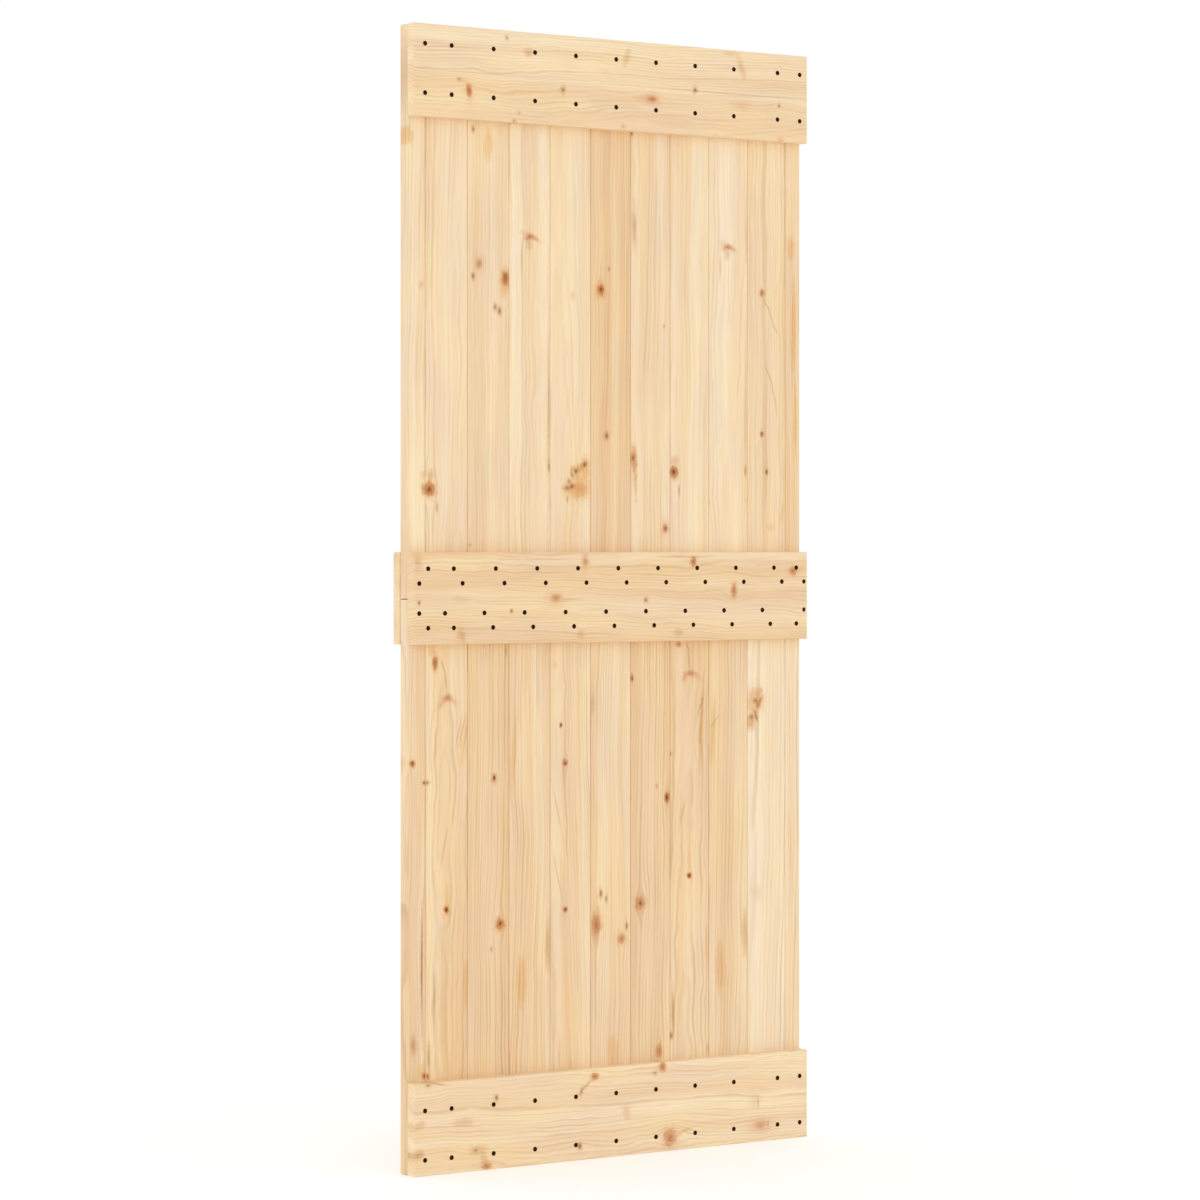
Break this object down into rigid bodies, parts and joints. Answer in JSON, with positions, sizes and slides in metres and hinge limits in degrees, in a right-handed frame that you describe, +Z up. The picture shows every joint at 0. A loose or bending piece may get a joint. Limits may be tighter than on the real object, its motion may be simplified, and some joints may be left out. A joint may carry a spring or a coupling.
{
  "type": "ledged plank door leaf",
  "caption": "Interior sliding barn-style door leaf: upper and lower fields of tongue-and-groove pine planks held by wide screwed battens on the front and a batten on the back of the seam",
  "frame": {"origin": "centre of the top batten's front face, where a sliding hanger is bolted on", "axes": "+X along the door's width to the viewer's right, +Y from the front face into the door, +Z up"},
  "size_m": [0.9, 0.072, 2.1],
  "materials": {
    "plank_pine": "satin",
    "batten_pine": "satin",
    "screw_steel": "satin"
  },
  "bodies": {
    "root": {"upper_plank_01": "plank_pine", "upper_plank_02": "plank_pine", "upper_plank_03": "plank_pine", "upper_plank_04": "plank_pine", "upper_plank_05": "plank_pine", "upper_plank_06": "plank_pine", "upper_plank_07": "plank_pine", "upper_plank_08": "plank_pine", "upper_plank_09": "plank_pine", "upper_plank_10": "plank_pine", "upper_plank_11": "plank_pine", "lower_plank_01": "plank_pine", "lower_plank_02": "plank_pine", "lower_plank_03": "plank_pine", "lower_plank_04": "plank_pine", "lower_plank_05": "plank_pine", "lower_plank_06": "plank_pine", "lower_plank_07": "plank_pine", "lower_plank_08": "plank_pine", "lower_plank_09": "plank_pine", "lower_plank_10": "plank_pine", "lower_plank_11": "plank_pine", "top_batten": "batten_pine", "middle_batten_front": "batten_pine", "middle_batten_back": "batten_pine", "bottom_batten": "batten_pine"}
  },
  "joints": []
}
